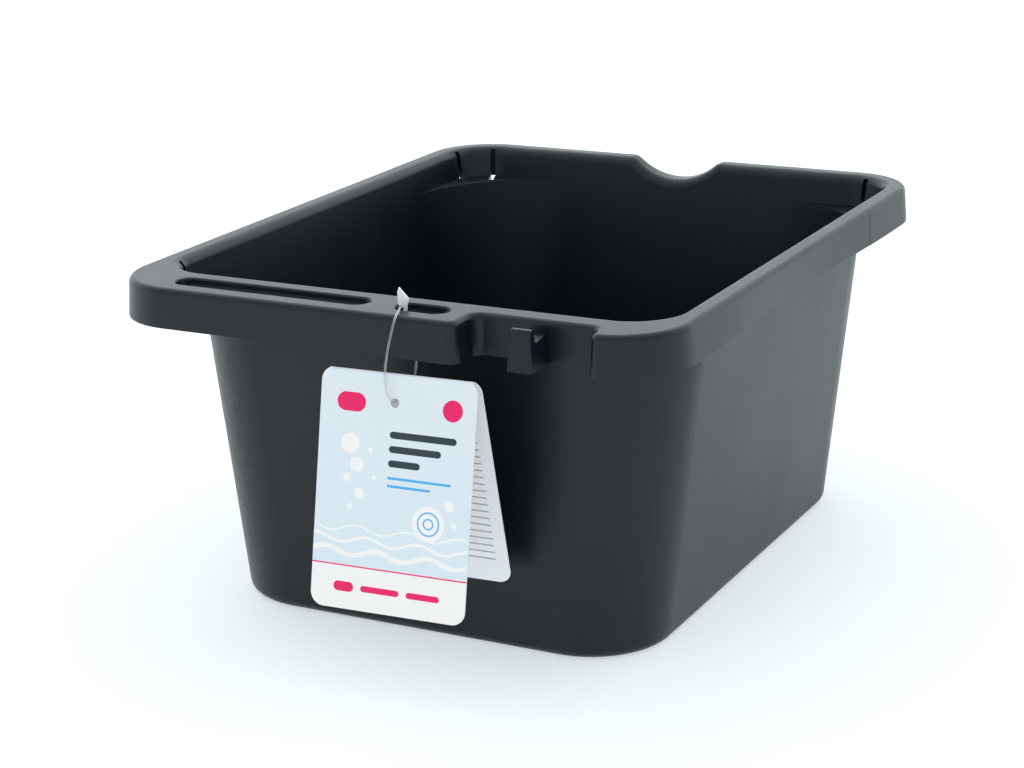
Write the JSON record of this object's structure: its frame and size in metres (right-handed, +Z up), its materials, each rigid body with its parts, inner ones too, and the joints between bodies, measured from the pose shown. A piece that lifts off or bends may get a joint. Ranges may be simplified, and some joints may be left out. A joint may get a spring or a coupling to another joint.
{
  "type": "breeding tub",
  "caption": "Small black plastic tub with an overhanging slotted rim, a front hook, a rear dip and a folded swing tag on a plastic loop.",
  "frame": {"origin": "middle of the flat base, on its underside", "axes": "+Z up, +Y towards the plain rear rim with the dip, +X to the right of the slotted front"},
  "size_m": [0.2018, 0.2743, 0.126],
  "materials": {
    "tub_plastic": "satin moulded polypropylene",
    "loop_nylon": "translucent white nylon",
    "tag_card": "coated printed card"
  },
  "bodies": {
    "tub": {"tub": "tub_plastic"},
    "loop": {"tag_loop": "loop_nylon", "loop_snap_head": "loop_nylon"},
    "front_leaf": {"tag_front_leaf": "tag_card"},
    "back_leaf": {"tag_back_leaf": "tag_card"}
  },
  "joints": [
    {"name": "loop_slide", "type": "slide", "parent": "tub", "child": "loop", "axis": [1, 0, 0], "range_m": [-0.002, 0.012]},
    {"name": "tag_swing", "type": "hinge", "parent": "loop", "child": "front_leaf", "pos_m": [0.01409, -0.1308, 0.09303], "axis": [0, 1, 0], "range_deg": [-10, 11]},
    {"name": "tag_crease", "type": "hinge", "parent": "front_leaf", "child": "back_leaf", "pos_m": [0.0151, -0.131, 0.1016], "axis": [0.9986, 0.0523, 0], "range_deg": [-24, 3], "stiffness_Nm_per_rad": 0.008, "springref_deg": 1.15}
  ]
}
